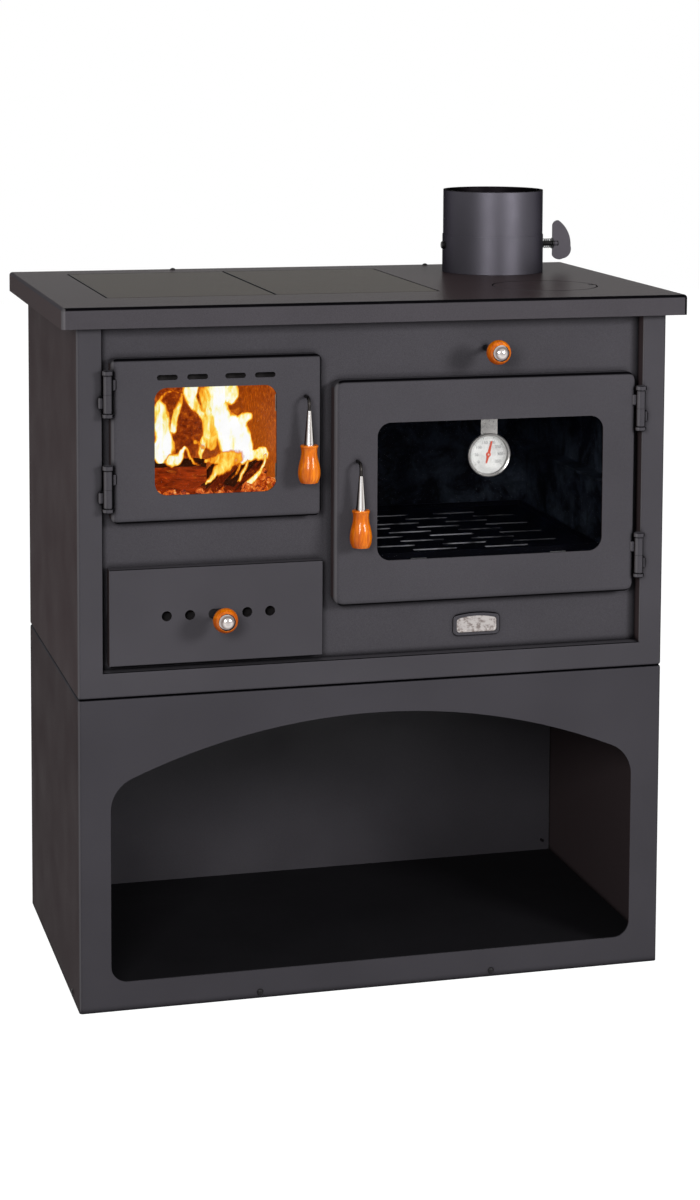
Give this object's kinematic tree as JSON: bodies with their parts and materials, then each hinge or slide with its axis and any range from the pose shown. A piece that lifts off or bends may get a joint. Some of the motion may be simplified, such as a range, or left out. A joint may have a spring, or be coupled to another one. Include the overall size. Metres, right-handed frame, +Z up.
{
  "type": "wood cookstove",
  "caption": "Wood-burning cookstove with firebox, glazed oven, ash drawer, cooking plates, flue damper and arched wood store.",
  "frame": {"origin": "on the floor, under the middle of the whole stove's bounding box", "axes": "+Z up, -Y out of the stove's front, +X to the right as seen from the front"},
  "size_m": [0.774, 0.512, 0.96],
  "materials": {
    "body_paint": "matte textured heat-resistant paint, anthracite",
    "inner_steel": "dark heat-scorched steel sheet",
    "cooktop_iron": "ground cast iron with a heat tint",
    "grate_iron": "rough sooty cast iron",
    "firebrick": "porous fired clay",
    "zinc": "plated screws",
    "bright_steel": "polished",
    "plain_steel": "bare steel",
    "dark_rod": "browned steel rod",
    "oven_sheet": "black enamel",
    "shelf_steel": "dull zinc-plated sheet",
    "clear_glass": "heat-resistant ceramic glass",
    "rope": "braided glass-fibre rope",
    "varnished_wood": "orange-amber varnished wood",
    "dial_white": "white printed dial",
    "pointer_red": "red-orange enamel",
    "badge_metal": "satin bare plate"
  },
  "bodies": {
    "stove": {"plinth_shell": "body_paint", "plinth_floor": "body_paint", "plinth_back_panel": "body_paint", "panel_screws": "zinc", "casing_shell": "body_paint", "casing_base": "inner_steel", "casing_back_panel": "body_paint", "front_panel": "body_paint", "badge_plate": "badge_metal", "top_plate": "body_paint", "flue_collar": "body_paint", "hinge_pintles": "body_paint", "firebox_shell": "inner_steel", "fire_grate": "grate_iron", "firebricks_side": "firebrick", "firebrick_back": "firebrick", "log_guard": "grate_iron", "oven_box": "oven_sheet", "oven_shelf_rails": "oven_sheet", "smoke_baffle": "inner_steel"},
    "firebox_door": {"firebox_door_shell": "body_paint", "firebox_door_glass": "clear_glass", "firebox_door_glass_clips": "zinc", "firebox_door_gasket_frame": "inner_steel", "firebox_door_gasket": "rope", "firebox_door_hinge_sleeves": "body_paint"},
    "firebox_handle": {"firebox_handle_rod": "dark_rod", "firebox_handle_ferrule": "bright_steel", "firebox_handle_grip": "varnished_wood"},
    "oven_door": {"oven_door_shell": "body_paint", "oven_door_glass": "clear_glass", "oven_door_glass_clips": "zinc", "oven_door_gasket_frame": "inner_steel", "oven_door_gasket": "rope", "oven_door_hinge_sleeves": "body_paint", "thermometer_case": "bright_steel", "thermometer_dial": "dial_white", "thermometer_lens": "clear_glass"},
    "oven_handle": {"oven_handle_rod": "dark_rod", "oven_handle_ferrule": "bright_steel", "oven_handle_grip": "varnished_wood"},
    "temperature_pointer": {"thermometer_pointer": "pointer_red"},
    "ash_drawer": {"ash_drawer_front": "body_paint", "ash_pan": "inner_steel"},
    "air_control": {"air_register": "plain_steel", "air_knob": "varnished_wood", "air_knob_cap": "bright_steel"},
    "draught_control": {"draught_rod": "plain_steel", "draught_plate": "inner_steel", "draught_knob": "varnished_wood", "draught_knob_cap": "bright_steel"},
    "damper": {"damper_disc": "plain_steel", "damper_spindle": "plain_steel", "damper_key": "plain_steel", "damper_spring": "bright_steel"},
    "left_plate": {"cooktop_plate_left": "cooktop_iron"},
    "right_plate": {"cooktop_plate_right": "cooktop_iron"},
    "lid": {"cleaning_lid": "cooktop_iron"},
    "shelf": {"oven_shelf": "shelf_steel"}
  },
  "joints": [
    {"name": "firebox_door_hinge", "type": "hinge", "parent": "stove", "child": "firebox_door", "pos_m": [-0.3315, -0.209, 0.689], "axis": [0, 0, -1], "range_deg": [0, 120]},
    {"name": "oven_door_hinge", "type": "hinge", "parent": "stove", "child": "oven_door", "pos_m": [0.3315, -0.209, 0.6175], "axis": [0, 0, 1], "range_deg": [0, 120]},
    {"name": "firebox_handle_turn", "type": "hinge", "parent": "firebox_door", "child": "firebox_handle", "pos_m": [-0.0935, -0.206, 0.737], "axis": [0, 1, 0], "range_deg": [0, 90]},
    {"name": "oven_handle_turn", "type": "hinge", "parent": "oven_door", "child": "oven_handle", "pos_m": [-0.0295, -0.206, 0.656], "axis": [0, -1, 0], "range_deg": [0, 90]},
    {"name": "thermometer_pointer_turn", "type": "hinge", "parent": "oven_door", "child": "temperature_pointer", "pos_m": [0.1395, -0.195, 0.656], "axis": [0, 1, 0], "range_deg": [-140, 112]},
    {"name": "ash_drawer_slide", "type": "slide", "parent": "stove", "child": "ash_drawer", "axis": [0, -1, 0], "range_m": [0, 0.25]},
    {"name": "air_register_slide", "type": "slide", "parent": "ash_drawer", "child": "air_control", "axis": [1, 0, 0], "range_m": [-0.0086, 0.0128]},
    {"name": "draught_slide", "type": "slide", "parent": "stove", "child": "draught_control", "axis": [0, -1, 0], "range_m": [0, 0.06]},
    {"name": "flue_damper_turn", "type": "hinge", "parent": "stove", "child": "damper", "pos_m": [0.249, 0.1415, 0.886], "axis": [1, 0, 0], "range_deg": [0, 90]},
    {"name": "left_plate_lift", "type": "slide", "parent": "stove", "child": "left_plate", "axis": [0, 0, 1], "range_m": [0, 0.06]},
    {"name": "right_plate_lift", "type": "slide", "parent": "stove", "child": "right_plate", "axis": [0, 0, 1], "range_m": [0, 0.06]},
    {"name": "lid_lift", "type": "slide", "parent": "stove", "child": "lid", "axis": [0, 0, 1], "range_m": [0, 0.06]},
    {"name": "oven_shelf_slide", "type": "slide", "parent": "stove", "child": "shelf", "axis": [0, -1, 0], "range_m": [0, 0.08]}
  ],
  "couplings": [
    {"joint": "oven_shelf_slide", "follows": "oven_door_hinge", "m_per_rad": 0.038}
  ]
}
